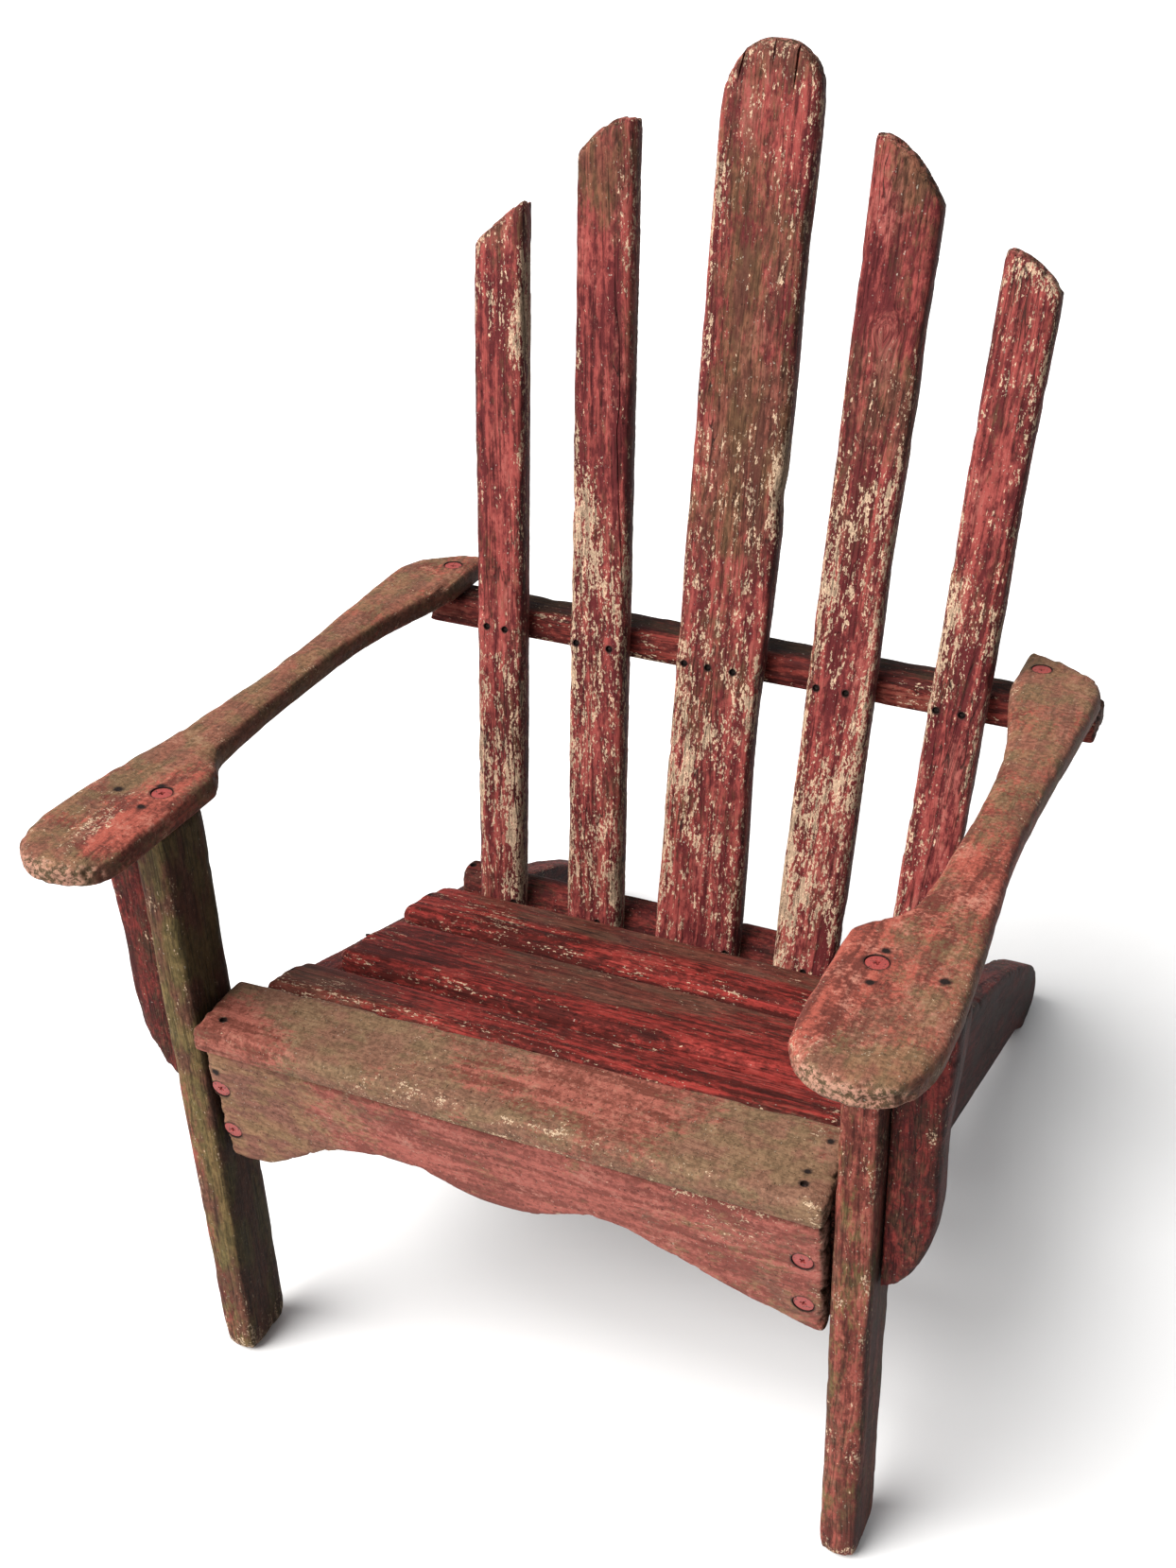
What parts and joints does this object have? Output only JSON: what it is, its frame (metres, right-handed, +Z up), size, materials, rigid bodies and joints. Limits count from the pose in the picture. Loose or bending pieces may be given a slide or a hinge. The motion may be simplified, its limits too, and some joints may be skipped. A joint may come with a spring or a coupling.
{
  "type": "adirondack chair",
  "caption": "Small slatted garden chair with paddle arms, corbel brackets, a scalloped apron, a sloping slat seat and a fanned, reclined slat back, screwed and nailed together.",
  "frame": {"origin": "on the floor under the middle of the chair's outline", "axes": "+X to the right as seen from the front, +Y to the rear, +Z up"},
  "size_m": [0.342, 0.4232, 0.5083],
  "materials": {
    "arm_wood": "worn red paint, blotched pink and brown",
    "leg_wood": "worn red paint with bare grey-brown streaks",
    "frame_wood": "worn dark red paint",
    "front_wood": "red paint worn to an olive-brown film",
    "seat_wood": "worn dark red paint with cream flecks",
    "back_wood": "worn dark red paint with cream flecks along the grain",
    "screw_steel": "painted over, rusting in the recess",
    "nail_steel": "rusted dark"
  },
  "bodies": {
    "root": {"front_leg_left": "leg_wood", "front_leg_right": "leg_wood", "arm_left": "arm_wood", "arm_right": "arm_wood", "corbel_left": "frame_wood", "corbel_right": "frame_wood", "stringer_left": "frame_wood", "stringer_right": "frame_wood", "apron": "front_wood", "seat_slat_1": "front_wood", "seat_slat_2": "seat_wood", "seat_slat_3": "seat_wood", "seat_slat_4": "seat_wood", "back_rail_upper": "frame_wood", "back_rail_lower": "frame_wood", "back_slat_1": "back_wood", "back_slat_2": "back_wood", "back_slat_3": "back_wood", "back_slat_4": "back_wood", "back_slat_5": "back_wood", "arm_screw_front_left": "screw_steel", "arm_screw_rear_left": "screw_steel", "arm_screw_front_right": "screw_steel", "arm_screw_rear_right": "screw_steel", "apron_screw_upper_left": "screw_steel", "apron_screw_lower_left": "screw_steel", "apron_screw_upper_right": "screw_steel", "apron_screw_lower_right": "screw_steel", "leg_screw_upper_left": "screw_steel", "leg_screw_lower_left": "screw_steel", "leg_screw_upper_right": "screw_steel", "leg_screw_lower_right": "screw_steel", "seat_nail_1_left": "nail_steel", "seat_nail_1_right": "nail_steel", "seat_nail_2_left": "nail_steel", "seat_nail_2_right": "nail_steel", "seat_nail_3_left": "nail_steel", "seat_nail_3_right": "nail_steel", "seat_nail_4_left": "nail_steel", "seat_nail_4_right": "nail_steel", "back_nail_1_upper_1": "nail_steel", "back_nail_1_upper_2": "nail_steel", "back_nail_1_lower": "nail_steel", "back_nail_2_upper_1": "nail_steel", "back_nail_2_upper_2": "nail_steel", "back_nail_2_lower": "nail_steel", "back_nail_3_upper_1": "nail_steel", "back_nail_3_upper_2": "nail_steel", "back_nail_3_upper_3": "nail_steel", "back_nail_3_lower": "nail_steel", "back_nail_4_upper_1": "nail_steel", "back_nail_4_upper_2": "nail_steel", "back_nail_4_lower": "nail_steel", "back_nail_5_upper_1": "nail_steel", "back_nail_5_upper_2": "nail_steel", "back_nail_5_lower": "nail_steel", "corbel_nail_left": "nail_steel", "corbel_nail_right": "nail_steel", "rail_nail_left": "nail_steel", "rail_nail_right": "nail_steel"}
  },
  "joints": []
}
